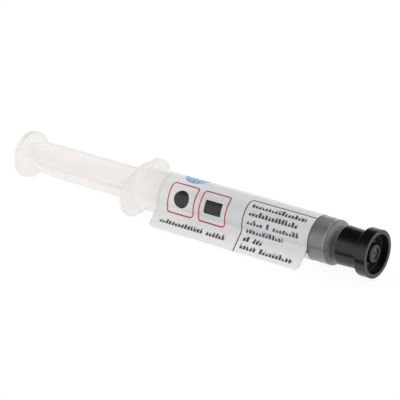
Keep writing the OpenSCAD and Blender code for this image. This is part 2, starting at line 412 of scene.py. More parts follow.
# %% [markdown]
# A grid of points becomes one closed skin. The columns run round the piece and the rows along it. A piece
# with a solid end is closed by a fan of triangles at a pole on the axis. The barrel has no pole, because its
# skin runs along the outside, in through the nozzle and back along the bore, so its last row joins its first.

# %% Skins over grids of points
COLUMNS = 192
SHARP_ANGLE = 34
DIGITS = 9
angles = np.linspace(0, 2 * np.pi, COLUMNS, endpoint=False)


def turned(along, radius, round_angles=angles):
    """Carries points round the axis: y is radius x cos(angle), z is the axis height + radius x sin(angle)."""
    along = np.reshape(along, (-1, 1)) + 0 * round_angles
    radius = np.reshape(radius, (len(along), -1)) + 0 * round_angles
    return np.stack([along, radius * np.cos(round_angles), AXIS_Z + radius * np.sin(round_angles)], -1)


def add_object(name, points, faces):
    """A mesh object from points in millimetres, smooth except where faces meet at a sharp angle.

    The points are rounded far below what can be seen, so that each run gives the same mesh to the last
    digit. Adding zero turns a negative zero into a plain one."""
    mesh = bpy.data.meshes.new(name)
    points = np.round(points, DIGITS) + 0.0
    mesh.from_pydata((points * MM).tolist(), [], faces)
    mesh.shade_smooth()
    mesh.set_sharp_from_angle(angle=np.radians(SHARP_ANGLE))
    made = bpy.data.objects.new(name, mesh)
    bpy.context.scene.collection.objects.link(made)
    return made


def skin(name, grid, poles=None):
    """One closed mesh over a grid of rows x columns x 3. Each cell is a face, and the columns join up.

    Without poles the rows join up too. With them, each end is a fan to its pole. The volume is a sixth of
    the sum of each triangle's triple product, and if it is negative every face is turned round."""
    rows, columns = grid.shape[:2]
    number = np.arange(rows * columns).reshape(rows, columns)
    beside = np.roll(number, -1, 1)
    here, there = (number, np.roll(number, -1, 0)) if poles is None else (number[:-1], number[1:])
    right_here, right_there = (beside, np.roll(beside, -1, 0)) if poles is None else (beside[:-1], beside[1:])
    cells = np.stack([here, right_here, right_there, there], -1).reshape(-1, 4)
    points = grid.reshape(-1, 3)
    fans = np.zeros((0, 3), int)
    if poles is not None:
        first, last = len(points), len(points) + 1
        points = np.concatenate([points, np.array(poles, float)])
        fans = np.concatenate([
            np.stack([beside[0], number[0], np.full(columns, first)], 1),
            np.stack([number[-1], beside[-1], np.full(columns, last)], 1),
        ])
    triangles = np.concatenate([cells[:, [0, 1, 2]], cells[:, [0, 2, 3]], fans])
    a, b, c = (points[triangles[:, i]] for i in range(3))
    volume = (a * np.cross(b, c)).sum() / 6
    if volume < 0:
        cells, fans = cells[:, ::-1], fans[:, ::-1]
    print(f"{name}: {len(cells) + len(fans)} faces, {abs(volume):.0f} cubic mm")
    return add_object(name, points, cells.tolist() + fans.tolist())


def on_axis(x):
    """A point on the axis."""
    return (x, 0.0, AXIS_Z)


def turned_solid(name, corners):
    """Corners, as rounded takes them, carried round the axis and closed by a pole at each end."""
    outline = rounded(corners)
    poles = [on_axis(corners[0][0]), on_axis(corners[-1][0])]
    return skin(name, turned(outline[:, 0], outline[:, 1]), poles)


def dress(piece, body, node, material):
    """Gives a piece its material, hangs it on what it moves with, and hides the CAD node that it stands for.
    """
    piece.data.materials.append(material)
    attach(piece, body)
    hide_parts(node)
    return piece


print("skins have", COLUMNS, "columns")

# %% [markdown]
# Moulded plastic is never a perfect mirror. The steel of the mould leaves a fine grain, and the plastic sinks
# a little where it is thick. One group of nodes makes both from noise at two scales. Each material says how
# coarse the grain is and how rough the surface is on average. One function starts every plain material with
# that grain and with a tint that wanders between two shades.

# %% Shared nodes: moulded grain, and the materials that start with it
def make_grain_group():
    """Fine and broad noise from the piece's own coordinates, as a roughness and as a height for bumps."""
    tree, takes, gives = new_group("moulded_grain", {"Size": 0.4, "Roughness": 0.3, "Spread": 0.1},
                                   ["Roughness", "Height"])
    place = own_place(tree)
    scale = calc(tree, "DIVIDE", 1 / MM, takes["Size"])
    scaled = put(tree, "VectorMath", {0: place, "Scale": scale}, operation="SCALE").outputs["Vector"]
    fine = put(tree, "TexNoise", {"Vector": scaled, "Scale": 1.0, "Detail": 3.0}).outputs["Fac"]
    broad = put(tree, "TexNoise", {"Vector": scaled, "Scale": 0.06, "Detail": 1.0}).outputs["Fac"]
    both = plus(tree, times(tree, fine, 0.4), times(tree, broad, 0.6))
    swing = times(tree, minus(tree, both, 0.5), takes["Spread"])
    tree.links.new(plus(tree, takes["Roughness"], swing), gives["Roughness"])
    tree.links.new(plus(tree, fine, times(tree, broad, 4.0)), gives["Height"])
    return tree


grain = make_grain_group()


def add_grain(tree, shader, size, roughness, spread, depth):
    """Connects the moulded grain to a shader: size in mm, and depth in mm for the bumps."""
    made = use_group(tree, grain, {"Size": size, "Roughness": roughness, "Spread": spread})
    bump = put(tree, "Bump", {"Height": made["Height"], "Strength": 1.0, "Distance": depth * MM})
    feed(tree, shader, {"Roughness": made["Roughness"], "Normal": bump.outputs["Normal"]})
    return made


def grained(name, values, shades, by="Height", **grain_values):
    """A material with the moulded grain, tinted between two shades by the grain's height or roughness.

    It returns the material, its tree, its shader, the grain's outputs and the tint, to build on."""
    material, tree, shader = new_material(name)
    feed(tree, shader, values)
    made = add_grain(tree, shader, **grain_values)
    tint = blended(tree, made[by], *shades)
    feed(tree, shader, {"Base Color": tint})
    return material, tree, shader, made, tint


print("group", grain.name)

# %% [markdown]
# Natural polypropylene has no pigment. Where it is thin it is nearly clear, with a slight haze and a warm
# tint, and where it is thick the haze adds up to a milky look. Glass-like shaders with a plain share of
# transmission give both, because the haze is what isn't transmitted. The tube is clear, and the barrel's rear
# and its flange are hazy. One looks through more plastic along an edge than across a wall, which shades it,
# so the rounded edges of the flange get a painted shade: their colour is a bit darker.

# %% Natural plastic for the barrel
FLANGE_X = barrel_low[0]
FLANGE_T = 2.1
FLANGE_EDGE = 0.5
FLANGE_COLOUR = (1.0, 0.985, 0.97, 1)
FLANGE_HAZE = 0.22
HAZE_FADE = (1.0, 4.0)
# Painted shade: the colour of the rounded edges of the flange and the thumb disc, where one looks through more
# plastic.
DISC_EDGE_SHADE = (0.75, 0.748, 0.745, 1)
FRONT_EDGE_SHARE = 0.25
EDGE_STEP = (0.02, 0.1)
EDGE_FADE_FROM = 0.6


def make_clear_plastic():
    """The barrel's thin wall: clear, slightly warm and slightly hazy."""
    material, *_ = grained(
        "natural_plastic",
        {"IOR": 1.49, "Transmission Weight": 0.95, "Specular IOR Level": 0.5},
        ((0.97, 0.957, 0.945, 1), (0.99, 0.98, 0.972, 1)),
        size=1.2, roughness=0.09, spread=0.08, depth=0.002)
    return material


def paint_edge_shade(tree, x, back, front, width, colour):
    """The colour with a painted shade on a disc's rounded edges, where one looks through more plastic.

    Each edge is a band in x, as wide as its rounding. The share is a smooth step up at the flat face and a
    smooth step down at the band's other end. It is whole on the rear edge and a fraction on the front edge."""
    shares = []
    for from_face, whole in ((minus(tree, x, back * MM), 1.0),
                             (minus(tree, front * MM, x), FRONT_EDGE_SHARE)):
        step_up = ramp(tree, from_face, EDGE_STEP[0] * MM, EDGE_STEP[1] * MM)
        step_down = ramp(tree, from_face, EDGE_FADE_FROM * width * MM, width * MM, whole, 0.0)
        shares.append(times(tree, step_up, step_down))
    return blended(tree, largest(tree, *shares), colour, DISC_EDGE_SHADE)


def make_hazy_plastic():
    """The barrel's rear, with more plastic behind its wall: hazier, and palest and roughest in the flange."""
    material, tree, shader, made, tint = grained(
        "hazy_plastic",
        {"IOR": 1.49, "Transmission Weight": 0.4, "Specular IOR Level": 0.4},
        ((0.965, 0.945, 0.93, 1), (0.98, 0.965, 0.95, 1)),
        size=0.9, roughness=0.18, spread=0.10, depth=0.002)
    x = parts_of(tree, own_place(tree))["X"]
    front = FLANGE_X + FLANGE_T
    fade_start, fade_end = ((front + step) * MM for step in HAZE_FADE)
    in_flange = ramp(tree, x, fade_start, fade_end, 1.0, 0.0)
    rough = plus(tree, made["Roughness"], times(tree, in_flange, FLANGE_HAZE))
    pale = blended(tree, in_flange, tint, FLANGE_COLOUR)
    # Painted shade on the flange's rounded edges.
    edge_shaded = paint_edge_shade(tree, x, FLANGE_X, front, FLANGE_EDGE, pale)
    feed(tree, shader, {"Roughness": rough, "Base Color": edge_shaded})
    return material


clear_plastic = make_clear_plastic()
hazy_plastic = make_hazy_plastic()
print("materials", clear_plastic.name, hazy_plastic.name)

# %% [markdown]
# The plunger rod is the same plastic, but its fins are thick and its mould was rougher, so it is milky and
# satin. Its thumb disc gets the painted shade on its rounded edges that the flange has. The fins' outer edges
# are narrow faces along the rod, seen through much plastic, and they get a painted shade too.

# %% Milky plastic for the plunger
ROD_OUT = 52.1
THUMB_BACK_X = rod_low[0]
THUMB_FRONT_X = FLANGE_X - ROD_OUT
THUMB_EDGE = 0.45
FIN_R = BORE_R - 0.5
# Painted shade: the colour of the fins' outer edges, where one looks through more plastic.
FIN_EDGE_SHADE = (0.93, 0.911, 0.896, 1)
FIN_EDGE_BAND = (0.5, 0.3)
FINS_BEGIN = (3.0, 6.0)


def make_milky_plastic():
    """Milky and satin, with a painted shade where the distance from the axis reaches the fins' edges.

    That distance is the root of y squared + (z - axis height) squared."""
    material, tree, shader, _, tint = grained(
        "plunger_plastic",
        {"IOR": 1.49, "Transmission Weight": 0.42, "Specular IOR Level": 0.3},
        ((0.972, 0.953, 0.937, 1), (0.984, 0.969, 0.956, 1)),
        size=0.9, roughness=0.42, spread=0.12, depth=0.003)
    place = own_place(tree)
    x = parts_of(tree, place)["X"]
    axis_feeds = {0: place, 1: (0.0, 0.0, AXIS_Z * MM)}
    from_axis = put(tree, "VectorMath", axis_feeds, operation="SUBTRACT").outputs[0]
    across = put(tree, "VectorMath", {0: from_axis, 1: (0.0, 1.0, 1.0)}, operation="MULTIPLY").outputs[0]
    r = put(tree, "VectorMath", {0: across}, operation="LENGTH").outputs["Value"]
    on_fins = ramp(tree, x, *((THUMB_BACK_X + step) * MM for step in FINS_BEGIN))
    # Painted shade on the fins' outer edges and on the thumb disc's rounded edges.
    at_edge = ramp(tree, r, *((FIN_R - step) * MM for step in FIN_EDGE_BAND))
    shade = blended(tree, times(tree, at_edge, on_fins), tint, FIN_EDGE_SHADE)
    edge_shaded = paint_edge_shade(tree, x, THUMB_BACK_X, THUMB_FRONT_X, THUMB_EDGE, shade)
    feed(tree, shader, {"Base Color": edge_shaded})
    return material


milky_plastic = make_milky_plastic()
print("material", milky_plastic.name)

# %% [markdown]
# Three shapes on the barrel aren't simply turned. The flange is oval: an arc round each end, an arc above and
# below the middle, and straight flanks between, so its rim is a radius that changes with the angle. The
# nozzle is a cone that needles are pushed on. The collar round it holds them by a thread with two starts.

# %% Flange rim, nozzle and thread
TIP_X = barrel_high[0]
SHOULDER_X = FLANGE_X + 84.7
FLANGE_HALF_L = 13.899
FLANGE_END_R = 7.45
TAPER_TIP_R = 1.975
TAPER_RATE = 0.03
COLLAR_END_X = SHOULDER_X + 8.3
THREAD_PITCH = 2.5
THREAD_H = 0.42
THREAD_X = cap_low[0] + 1.4
THREAD_HALF = 0.75
THREAD_FLANK = 0.4
THREAD_RUN_OUT = 0.6


def taper_r(x):
    """Radius of the nozzle's cone: it grows in proportion to the distance from the tip."""
    return TAPER_TIP_R + (TIP_X - x) * TAPER_RATE


def flange_rim(angle):
    """The flange's radius at an angle from the line between its two ends.

    An arc above the middle has the middle's radius m. The flank that touches it, at the angle n, is
    m / cos(angle - n) away. Past the flank, the end's arc of radius e, round a point at d, is
    d cos(angle) + the root of e squared - (d sin(angle)) squared."""
    middle, end = AXIS_Z, FLANGE_END_R
    d = FLANGE_HALF_L - end
    n = np.arccos((middle - end) / d)
    a = np.abs(np.angle(np.exp(1j * angle)))
    a = np.minimum(a, np.pi - a)
    touch = np.arctan2(end * np.sin(n), d + end * np.cos(n))
    arc = d * np.cos(a) + np.sqrt(np.maximum(end ** 2 - (d * np.sin(a)) ** 2, 0))
    flank = middle / np.cos(np.minimum(a - n, 0))
    return np.where(a < touch, arc, flank)


def thread_height(x, angle):
    """A ridge with two starts inside the collar, which climbs by two pitches in each turn.

    The phase is x / pitch - angle / pi. The ridge is an S curve of the distance from the phase's middle."""
    phase = (x - THREAD_X) / THREAD_PITCH - angle / np.pi
    from_crest = np.abs(phase % 1 - 0.5) * THREAD_PITCH
    flank = np.clip((THREAD_HALF - from_crest) / THREAD_FLANK, 0, 1)
    begins = np.clip((x - THREAD_X) / THREAD_RUN_OUT, 0, 1)
    stops = np.clip((COLLAR_END_X - 0.5 - x) / THREAD_RUN_OUT, 0, 1)
    return THREAD_H * flank * flank * (3 - 2 * flank) * (begins * stops)


print("nozzle", round(TAPER_TIP_R, 3), "to", round(taper_r(SHOULDER_X), 3), "flange", flange_rim(0.0), "long")

# %% [markdown]
# The barrel is one moulding, so it is one skin. One outline goes all the way along the outside, from the
# flange over the shoulder and the collar to the nozzle's tip, and back along the channel and the bore. The
# flange's rim and the collar's thread then push that outline in or out. The flange rests on one flank, which
# is why it leans. The bore has a low bead inside its mouth, which keeps the plunger from falling out.

# %% Barrel
FLANGE_FILLET = 0.8
FLANGE_START = 3
SHOULDER_ROUND = 1.5
BORE_END_X = paste_low[0] + 43.3
CHANNEL_X = SHOULDER_X - 0.4
CHANNEL_R = 1.1
COLLAR_FLOOR_X = SHOULDER_X + 0.8
COLLAR_R = 5.2
COLLAR_BORE_R = 4.0
BEAD_X = FLANGE_X + 2.6
BEAD_W = 1.4
BEAD_H = 0.2
MOUTH_CHAMFER = 0.6
HAZY_TO_X = label_low[0] + 3.0


def make_barrel():
    """The outline carried round, with the flange stretched from its round start to its oval rim.

    The stretch grows in proportion from nothing at the fillet to the whole at the rim's rounding."""
    rim = BARREL_R + FLANGE_START
    front = FLANGE_X + FLANGE_T
    outline = rounded([
        (FLANGE_X, BORE_R + MOUTH_CHAMFER, 0.12),
        (FLANGE_X, rim, FLANGE_EDGE, 1),
        (front, rim, FLANGE_EDGE, 1),
        (front, BARREL_R, FLANGE_FILLET, 12),
        (SHOULDER_X, BARREL_R, SHOULDER_ROUND, 1),
        (SHOULDER_X, COLLAR_R, 0.3, 2),
        (COLLAR_END_X, COLLAR_R, 0.3),
        (COLLAR_END_X, COLLAR_BORE_R, 0.25, 56),
        (COLLAR_FLOOR_X, COLLAR_BORE_R, 0.2),
        (COLLAR_FLOOR_X, taper_r(COLLAR_FLOOR_X), 0.2, 3),
        (TIP_X, TAPER_TIP_R, 0.2),
        (TIP_X, CHANNEL_R, 0.12, 3),
        (CHANNEL_X, CHANNEL_R, 0.3),
        (BORE_END_X, BORE_R, 0.3, 12),
        (BEAD_X + BEAD_W, BORE_R, 0.2),
        (BEAD_X + BEAD_W * 0.6, BORE_R - BEAD_H, 0.2),
        (BEAD_X + BEAD_W * 0.4, BORE_R - BEAD_H, 0.2),
        (BEAD_X, BORE_R, 0.2),
        (FLANGE_X + MOUTH_CHAMFER, BORE_R, 0.2),
    ], closed=True)
    x, r = outline[:, :1], outline[:, 1:]
    low, high = BARREL_R + FLANGE_FILLET, rim - FLANGE_EDGE
    lean = np.arcsin((AXIS_Z - FLANGE_END_R) / (FLANGE_HALF_L - FLANGE_END_R))
    stretch = flange_rim(angles - lean) - rim
    radius = r + stretch * np.clip((r - low) / (high - low), 0, 1)
    threaded = (np.abs(r - COLLAR_BORE_R) < 0.01) & (x > COLLAR_FLOOR_X)
    radius = radius - threaded * thread_height(x, angles)
    return skin("barrel_moulding", turned(x, radius))


def cloud_rear(piece):
    """Gives the outer faces of the flange and the rear tube the hazy plastic, by where their middles are."""
    middles = np.zeros((len(piece.data.polygons), 3), np.float32)
    piece.data.polygons.foreach_get("center", middles.ravel())
    r = np.hypot(middles[:, 1], middles[:, 2] - AXIS_Z * MM) / MM
    hazy = (middles[:, 0] / MM < HAZY_TO_X) & (r > BORE_R + 0.1)
    piece.data.materials.append(hazy_plastic)
    piece.data.polygons.foreach_set("material_index", hazy.astype(np.int32))
    print("hazy faces:", hazy.sum())


barrel = dress(make_barrel(), "barrel", "barrel", clear_plastic)
cloud_rear(barrel)

# %% [markdown]
# The plunger rod is moulded too: a thumb disc, four fins that widen as they leave it, a round plate and a
# knob for the seal. Its fins, cut across, are a cross with rounded arms. The fillet where they meet a disc
# makes the whole cross grow, so the cut takes that growth as a number.

# %% Fins cut across
FIN_T = 1.2
FIN_EDGE = 0.4
FIN_ROOT_FILLET = 0.7


def cross_section(reach, grown=0.0):
    """The fins cut across: four arms with rounded edges, and a fillet in each corner between them."""
    half = FIN_T / 2 + grown
    tip = reach + grown
    arm = np.array([(half, -half), (tip, -half), (tip, half)])
    turn = np.exp(1j * np.arange(4) * np.pi / 2)[:, None] * (arm[:, 0] + 1j * arm[:, 1])
    sizes = np.tile([(FIN_ROOT_FILLET, 7), (FIN_EDGE, 1), (FIN_EDGE, 7)], (4, 1))
    corners = np.column_stack([turn.real.ravel(), turn.imag.ravel(), sizes])
    return rounded(corners, closed=True)


print("a cut through the fins has", len(cross_section(FIN_R)), "points")

# %% [markdown]
# Cut across, the rod is a disc, then a cross, then a disc again. Every cut has the same number of points, so
# the cuts can be joined into one skin. The round cuts take their angles from the cross, spread evenly, so
# that no face is twisted where the fins meet a disc.

# %% Plunger rod
FIN_ROOT_R = 4.6
FIN_TAPER_L = 8.0
DISC_FILLET = 0.5
PLATE_FILLET = 0.15
PLATE_R = 6.6
PLATE_T = 1.2
KNOB_R = 4.7
KNOB_NECK_R = 3.7
KNOB_NECK_L = 2.2
KNOB_L = 3.0
KNOB_DRAFT = 0.5
SEAL_X = seal_low[0]


def make_rod():
    """Cuts along the rod, each a closed line round the axis, joined from the thumb disc to the knob."""
    cross = cross_section(FIN_R)
    count = len(cross)
    polar = np.unwrap(np.arctan2(cross[:, 1], cross[:, 0]))
    even = np.arange(count) * 2 * np.pi / count
    even = even + (polar - even).mean()

    def discs(outline):
        """Round cuts, one for each point (along, radius)."""
        return turned(outline[:, 0], outline[:, 1], even)

    def crosses(along, reach, grown):
        """Cuts across the fins at each place, with the reach and the fillet's growth there."""
        cuts = np.array([cross_section(r, g) for r, g in zip(reach, grown)])
        x = np.broadcast_to(np.reshape(along, (-1, 1)), cuts.shape[:2])
        return np.stack([x, cuts[..., 0], AXIS_Z + cuts[..., 1]], -1)

    thumb = rounded([
        (THUMB_BACK_X, 0.3, 0.0, 2),
        (THUMB_BACK_X, THUMB_R, THUMB_EDGE),
        (THUMB_FRONT_X, THUMB_R, THUMB_EDGE, 1),
        (THUMB_FRONT_X, FIN_ROOT_R + 1.4, 0.0),
    ])
    fin_edge = rounded([
        (THUMB_FRONT_X, FIN_ROOT_R, 0.0, 1),
        (THUMB_FRONT_X + FIN_TAPER_L, FIN_R, 6.0, 8),
        (SEAL_X - PLATE_T, FIN_R, 0.0),
    ])
    sweep = np.linspace(0, np.pi / 2, 5)
    hollow = DISC_FILLET * (1 - np.sin(sweep))
    at_disc = THUMB_FRONT_X + DISC_FILLET * (1 - np.cos(sweep))
    at_plate = SEAL_X - PLATE_T - PLATE_FILLET * (1 - np.cos(sweep[::-1]))
    flare = PLATE_FILLET * (1 - np.sin(sweep[::-1]))
    inside = (fin_edge[:, 0] > at_disc[-1] + 0.1) & (fin_edge[:, 0] < at_plate[0] - 0.1)
    along = np.concatenate([at_disc, fin_edge[inside, 0], at_plate])
    reach = np.interp(along, fin_edge[:, 0], fin_edge[:, 1])
    grown = np.concatenate([hollow, np.zeros(inside.sum()), flare])
    plate = rounded([
        (SEAL_X - PLATE_T, PLATE_R - 0.02, 0.0),
        (SEAL_X, PLATE_R, 0.25),
        (SEAL_X, KNOB_NECK_R, 0.2),
        (SEAL_X + KNOB_NECK_L, KNOB_NECK_R, 0.15),
        (SEAL_X + KNOB_NECK_L, KNOB_R, 0.25),
        (SEAL_X + KNOB_NECK_L + KNOB_L, KNOB_R - KNOB_DRAFT, 0.4, 1),
        (SEAL_X + KNOB_NECK_L + KNOB_L, 0.5, 0.0),
    ])
    grid = np.concatenate([discs(thumb), crosses(along, reach, grown), discs(plate)])
    return skin("plunger_moulding", grid, [on_axis(THUMB_BACK_X), on_axis(SEAL_X + KNOB_NECK_L + KNOB_L)])


dress(make_rod(), "plunger", "plunger_rod", milky_plastic)

# %% [markdown]
# The seal is black rubber, snapped on the rod's knob. Two ribs press on the bore, with a waist between, and
# the nose is a shallow cone that matches the end of the bore. It is turned from one outline that goes over
# the outside and back into the hollow for the knob. Rubber is dull, with a fine even grain.

# %% Rubber seal
RIB_W = 1.3
WAIST = 0.5
NOSE_FLAT_R = 2.0
NOSE_SLOPE = np.tan(np.radians(15))
NOSE_X = SEAL_X + 8.4
KNOB_GAP = 0.05


def make_rubber():
    """Black rubber, dull, with a bloom that makes it greyer in patches."""
    material, *_ = grained(
        "seal_rubber", {"Specular IOR Level": 0.4},
        ((0.012, 0.012, 0.013, 1), (0.040, 0.040, 0.042, 1)), by="Roughness",
        size=0.5, roughness=0.55, spread=0.25, depth=0.006)
    return material


def make_seal():
    """The seal's outline, turned round the axis: nose, front rib, waist, rear rib, then the knob's hollow."""
    tip_x = seal_high[0]
    neck_r, head_r = KNOB_NECK_R + KNOB_GAP, KNOB_R + KNOB_GAP
    head_x = SEAL_X + KNOB_NECK_L - KNOB_GAP
    floor_x = head_x + KNOB_L + 2 * KNOB_GAP
    return turned_solid("rubber_seal", [
        (tip_x, 0.4, 0.0),
        (tip_x, NOSE_FLAT_R, 0.5, 1),
        (NOSE_X, SEAL_R, 0.3),
        (NOSE_X - RIB_W, SEAL_R, 0.3),
        (NOSE_X - RIB_W - 0.35, SEAL_R - WAIST, 0.3),
        (SEAL_X + RIB_W + 0.35, SEAL_R - WAIST, 0.3),
        (SEAL_X + RIB_W, SEAL_R, 0.3),
        (SEAL_X, SEAL_R, 0.35),
        (SEAL_X, neck_r, 0.15),
        (head_x, neck_r, 0.1),
        (head_x, head_r, 0.15),
        (floor_x, head_r - KNOB_DRAFT, 0.3),
        (floor_x, 0.4, 0.0),
    ])


dress(make_seal(), "plunger", "piston_seal", make_rubber())

# %% [markdown]
# Solder paste is a grey powder of metal balls in sticky flux. It wets the barrel, so there is no air between
# it and the wall, and the wall seems to vanish: the grey fills the barrel to its edge. The paste's skin is
# let into the wall by a hair to get that. The column shortens as the plunger comes forward, so it is a piece
# of its own that squashes, and the film on the end of the bore and the thread in the nozzle stay behind.
# The film lies deep behind the thick shoulder, in the cap's shade, and its grey is painted darker for that
# shade. The paste is paler on its top and low on its flanks, where the light of a studio reaches it best
# through the wall. The grey gets its levels there by its height, in the piece's own coordinates.

# %% Solder paste
WETTING = 0.02
FILM = 0.06
PASTE_ROUND = 0.6
PASTE_END_X = paste_high[0]
COLUMN_TOP = (5.9, 7.1, 1.0, 1.6)
COLUMN_FLANK = (-4.2, -2.2, 1.25, 1.0)
FILM_TOP = (1.5, 6.5, 1.0, 2.6)
FILM_FLANK = (-6.0, -3.0, 1.7, 1.0)


def make_paste_material(name, dark, light, top, flank):
    """Grey metal powder in flux: mottled between two greys, with a fine glitter in its roughness.

    top and flank each scale the grey by an S curve in z, as (from, to, level below, level above)."""
    material, tree, shader, _, tint = grained(
        name, {"Specular IOR Level": 0.5, "Metallic": 0.3}, (dark, light), by="Roughness",
        size=0.22, roughness=0.38, spread=0.2, depth=0.002)
    z = parts_of(tree, own_place(tree))["Z"]
    levels = [ramp(tree, z, (AXIS_Z + low) * MM, (AXIS_Z + high) * MM, start, end)
              for low, high, start, end in (top, flank)]
    feeds = {0: tint, "Scale": times(tree, *levels)}
    grey = put(tree, "VectorMath", feeds, operation="SCALE").outputs["Vector"]
    feed(tree, shader, {"Base Color": grey})
    return material


def make_column():
    """The column between the seal's nose and the plane where the bore begins to close."""
    rear = paste_low[0]
    nose = rear + (SEAL_R - NOSE_FLAT_R) * NOSE_SLOPE
    return turned_solid("paste_column", [
        (nose, 0.4, 0.0),
        (nose, NOSE_FLAT_R, 0.2),
        (rear, BORE_R + WETTING, 0.05, 20),
        (BORE_END_X, BORE_R + WETTING, PASTE_ROUND),
        (BORE_END_X, 0.4, 0.0),
    ])


def make_front_film():
    """A thin film on the cone at the bore's end, and the thread of paste in the nozzle's channel."""
    inner = CHANNEL_R + WETTING
    return turned_solid("paste_front", [
        (CHANNEL_X - FILM, 0.2, 0.0),
        (CHANNEL_X - FILM, inner * 0.8, 0.05),
        (BORE_END_X - FILM, BORE_R - FILM, 0.02),
        (BORE_END_X, BORE_R + WETTING, 0.05),
        (CHANNEL_X + WETTING, inner, 0.2, 3),
        (PASTE_END_X, inner, 0.3),
        (PASTE_END_X, 0.2, 0.0),
    ])


paste = make_paste_material("paste", (0.21, 0.207, 0.215, 1), (0.272, 0.268, 0.279, 1),
                            COLUMN_TOP, COLUMN_FLANK)
# The film's darker grey is a painted shade, for the cap's shade on it.
paste_film = make_paste_material("paste_film", (0.105, 0.104, 0.108, 1), (0.14, 0.138, 0.144, 1),
                                 FILM_TOP, FILM_FLANK)
column = dress(make_column(), "barrel", "solder_paste", paste)
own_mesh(column)
dress(make_front_film(), "barrel", "solder_paste", paste_film)

# %% [markdown]
# The cap is black plastic. Its skirt goes over the lock collar, and the post in its middle has a socket that
# sits on the nozzle. The front is a deep ring-shaped recess round the end of the post, which has a shallow
# dish with the small pit where the plastic was let into the mould. All of it is turned from one outline. On
# black plastic it is the roundings that catch the light, so each corner has its own. A low ring at the
# post's rear end is what the collar's thread pulls on.

# %% Tip cap
POST_X = cap_low[0]
CAP_X = SHOULDER_X + 2.0
RIM_X = cap_high[0]
RECESS_DEPTH = 3.0
RIM_W = 1.5
RING_BACK_T = 1.5
WEB_T = 1.5
SKIRT_MOUTH_R = 6.9
SKIRT_FRONT_R = 6.6
SKIRT_IN_R = 5.8
POST_R = 3.3
POST_RING_R = 3.9
POST_RING_L = 1.2
HUB_SET_BACK = 0.9
HUB_ROUND = 0.7
DISH_R = 2.2
DISH_DEPTH = 0.45
GATE_R = 0.5
GATE_DEPTH = 0.2
TAPER_GAP = 0.04
SOCKET_GAP = 0.4


def make_black_plastic():
    """Black plastic with a satin grain, a little greyer where the grain is coarse."""
    material, *_ = grained(
        "cap_plastic", {"Specular IOR Level": 0.5},
        ((0.0035, 0.0035, 0.0037, 1), (0.0075, 0.0075, 0.0078, 1)), by="Roughness",
        size=0.35, roughness=0.24, spread=0.16, depth=0.0015)
    return material


def make_cap():
    """The cap's outline from the dish in front, over the outside, into the rear hollow and the socket."""
    recess_x = RIM_X - RECESS_DEPTH
    ring_x = recess_x - RING_BACK_T
    web_x = recess_x - WEB_T
    hub_x = RIM_X - HUB_SET_BACK
    gate_x = hub_x - DISH_DEPTH - GATE_DEPTH
    floor_x = TIP_X + SOCKET_GAP
    return turned_solid("cap_moulding", [
        (gate_x, 0.2, 0.0),
        (gate_x, GATE_R, 0.12),
        (gate_x + GATE_DEPTH, GATE_R, 0.05),
        (gate_x + GATE_DEPTH, DISH_R, 0.15),
        (hub_x, DISH_R, 0.08),
        (hub_x, POST_R, HUB_ROUND, 2),
        (recess_x, POST_R, 0.25, 1),
        (recess_x, RING_R - RIM_W, 0.25, 2),
        (RIM_X, RING_R - RIM_W, 0.15),
        (RIM_X, RING_R, 0.12),
        (ring_x, RING_R, 0.6),
        (ring_x, SKIRT_FRONT_R, 0.5, 3),
        (CAP_X, SKIRT_MOUTH_R, 0.25),
        (CAP_X, SKIRT_IN_R, 0.2, 3),
        (web_x, SKIRT_IN_R, 0.4),
        (web_x, POST_R, 0.3, 6),
        (POST_X + POST_RING_L, POST_R, 0.1),
        (POST_X + POST_RING_L, POST_RING_R, 0.15),
        (POST_X, POST_RING_R, 0.2),
        (POST_X, taper_r(POST_X) + TAPER_GAP, 0.15, 3),
        (floor_x, taper_r(floor_x) + TAPER_GAP, 0.2),
        (floor_x, 0.3, 0.0),
    ])


dress(make_cap(), "cap", "tip_cap", make_black_plastic())

# %% [markdown]
# The label is one strip of printed film. It starts at the flag's edge, runs in to the barrel, goes round it
# and comes back out, so that its two ends lie face to face. Film can't fold sharply: it lifts off the barrel
# in a soft bend above the flag and makes a small loop below it. All of that shows in a cut across the
# barrel, so the strip is first a line in that plane: straight runs, an arc, and two cubic bends.

# %% The label cut across
LABEL_T = 0.1
LABEL_X = label_low[0]
LABEL_L = label_high[0] - label_low[0]
LABEL_R = label_high[2] - AXIS_Z - LABEL_T / 2
FLAG_L = 7.9
FLAG_ROOT = np.radians(12)
FLAG_SLOPE = np.radians(47)
FLAG_ROUND = 1.8
FLAG_LIFT = 0.056
FLAG_STRAIGHT = FLAG_L - 1.7
LEAVES_ABOVE = np.radians(-3)
LEAVES_BELOW = np.radians(-30)
HOLD_ABOVE = 1.0
HOLD_BELOW = 1.1


def bend(start, start_way, end, end_way, hold, count=12):
    """A smooth bend between two points that leaves and arrives in given directions.

    It is a cubic curve with its two handles at hold from the ends:
    (1-t)^3 A + 3(1-t)^2 t B + 3(1-t) t^2 C + t^3 D."""
    t = np.linspace(0, 1, count + 2)[1:-1, None]
    b, c = start + start_way * hold, end - end_way * hold
    return (1 - t) ** 3 * start + 3 * (1 - t) ** 2 * t * b + 3 * (1 - t) * t ** 2 * c + t ** 3 * end


